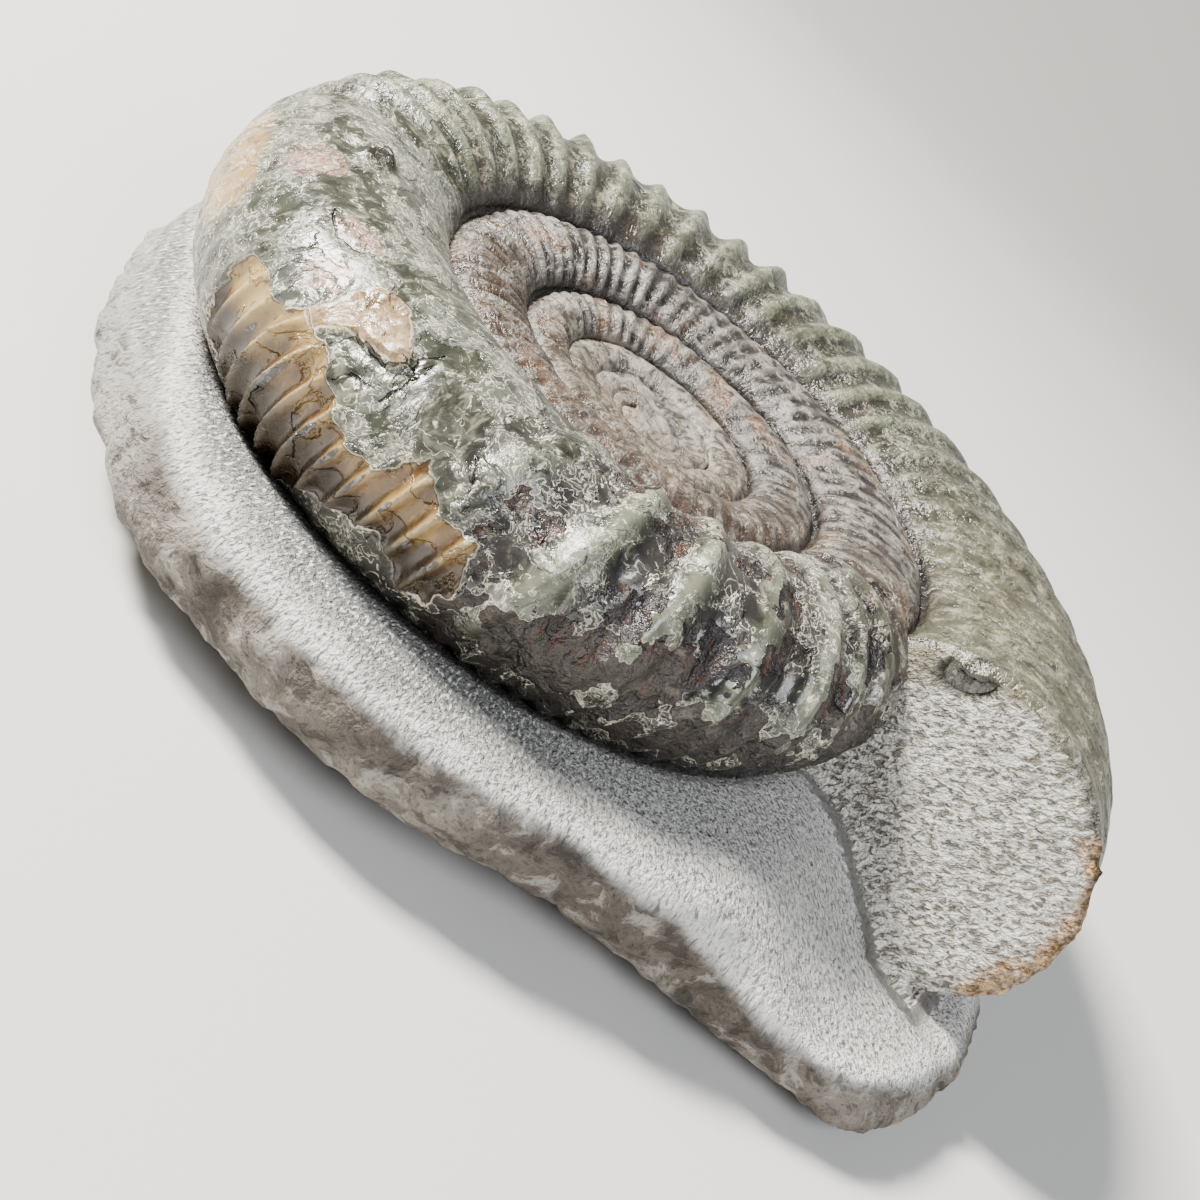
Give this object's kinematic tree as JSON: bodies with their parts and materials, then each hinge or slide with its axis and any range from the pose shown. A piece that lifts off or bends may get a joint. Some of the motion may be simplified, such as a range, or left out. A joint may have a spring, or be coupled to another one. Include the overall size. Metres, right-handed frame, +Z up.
{
  "type": "ammonite fossil on matrix",
  "caption": "Coiled, ribbed Dactylioceras ammonite lying in a rounded piece of grey limestone, its mouth filled with the same stone; a display or study specimen.",
  "frame": {"origin": "on the flat spot that the stone rests on, below the middle of the whole piece", "axes": "+Z up along the coil's axis, +X towards the side where the shell's mouth is, -Y towards the side that the mouth faces"},
  "size_m": [0.095, 0.088, 0.0285],
  "materials": {
    "fossil_shell": "glossy grey-green shell over brown and mauve stone",
    "limestone": "matt, finely pitted by cleaning"
  },
  "bodies": {
    "root": {"ammonite_shell": "fossil_shell", "limestone_matrix": "limestone"}
  },
  "joints": []
}
